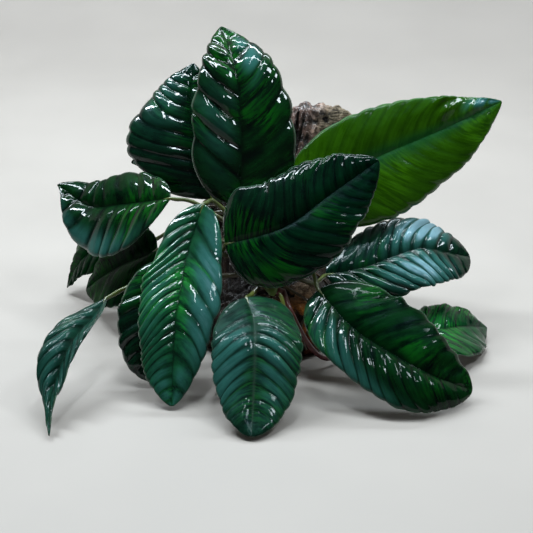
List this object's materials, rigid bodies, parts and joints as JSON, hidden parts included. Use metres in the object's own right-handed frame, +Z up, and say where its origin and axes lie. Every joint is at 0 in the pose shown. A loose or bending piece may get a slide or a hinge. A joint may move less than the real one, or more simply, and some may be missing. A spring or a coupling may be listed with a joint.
{
  "type": "aquarium plant on driftwood",
  "caption": "Coffeefolia anubias: broad glossy corrugated leaves on long stalks, rising and drooping from a creeping rhizome that grips a knobbly piece of driftwood cut flat below.",
  "frame": {"origin": "middle of the driftwood's flat underside, on the surface that the part stands on", "axes": "+Z up, square to the flat underside; +X along the plant's longest spread; -Y towards the side that the lowest leaves hang to, the side seen in the picture"},
  "size_m": [0.3273, 0.2582, 0.2036],
  "materials": {
    "leaf_green": "gloss",
    "leaf_bright": "gloss",
    "stalk_green": "satin",
    "stalk_red": "satin",
    "rhizome_brown": "satin",
    "wood_brown": "satin"
  },
  "bodies": {
    "root": {"leaf_top": "leaf_green", "leaf_centre": "leaf_green", "leaf_upper_right": "leaf_bright", "leaf_upper_left": "leaf_green", "leaf_back_left": "leaf_green", "leaf_left": "leaf_green", "leaf_left_lower": "leaf_green", "leaf_left_back": "leaf_green", "leaf_front_left": "leaf_green", "leaf_front_under": "leaf_green", "leaf_low_left": "leaf_green", "leaf_low_centre": "leaf_green", "leaf_low_right": "leaf_green", "leaf_right": "leaf_green", "leaf_right_lower": "leaf_green", "stalk_top": "stalk_green", "stalk_centre": "stalk_green", "stalk_upper_right": "stalk_green", "stalk_upper_left": "stalk_green", "stalk_back_left": "stalk_green", "stalk_left": "stalk_green", "stalk_left_lower": "stalk_green", "stalk_left_back": "stalk_green", "stalk_front_left": "stalk_green", "stalk_front_under": "stalk_green", "stalk_low_left": "stalk_green", "stalk_low_centre": "stalk_green", "stalk_low_right": "stalk_green", "stalk_right": "stalk_green", "stalk_right_lower": "stalk_red", "sheath": "stalk_green", "cut_stalk": "stalk_green", "rhizome": "rhizome_brown", "root_front": "rhizome_brown", "root_right": "rhizome_brown", "root_left": "rhizome_brown", "root_back": "rhizome_brown", "driftwood": "wood_brown"}
  },
  "joints": []
}
